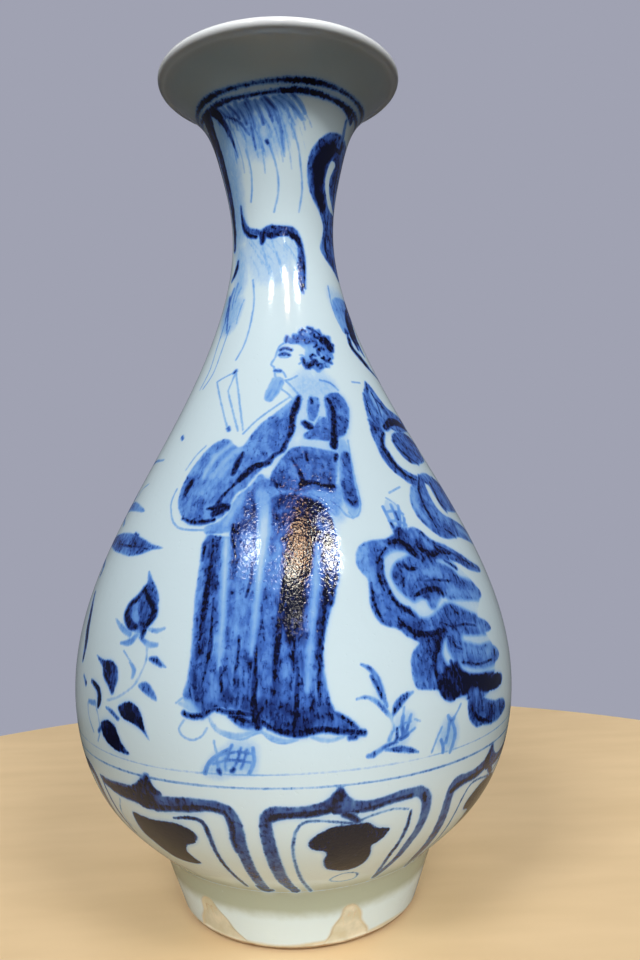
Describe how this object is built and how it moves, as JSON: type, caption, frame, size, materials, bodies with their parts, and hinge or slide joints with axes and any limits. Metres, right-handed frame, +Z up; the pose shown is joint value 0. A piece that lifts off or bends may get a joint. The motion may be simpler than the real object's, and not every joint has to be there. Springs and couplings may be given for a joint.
{
  "type": "yuhuchunping vase",
  "caption": "Pear-shaped porcelain bottle vase with a narrow neck, an everted rolled mouth and a turned foot ring, under a bluish glaze painted in blue.",
  "frame": {"origin": "centre of the plane that the foot ring rests on", "axes": "+Z up along the axis that the vase is turned about; -Y is the side with the painted figure"},
  "size_m": [0.151, 0.151, 0.288],
  "materials": {
    "porcelain_body": "bare fired porcelain, matt, pale buff with an orange flush at the glaze line",
    "luting_slip": "fired porcelain slip, matt",
    "painted_glaze": "glossy bluish white glaze over cobalt blue brushwork",
    "clear_glaze": "glossy bluish white glaze, plain"
  },
  "bodies": {
    "root": {"foot_ring": "porcelain_body", "lower_belly": "porcelain_body", "upper_belly": "porcelain_body", "neck_and_mouth": "porcelain_body", "foot_slip": "luting_slip", "belly_slip": "luting_slip", "neck_slip": "luting_slip", "outer_glaze": "painted_glaze", "throat_glaze": "clear_glaze", "base_glaze": "clear_glaze"}
  },
  "joints": []
}
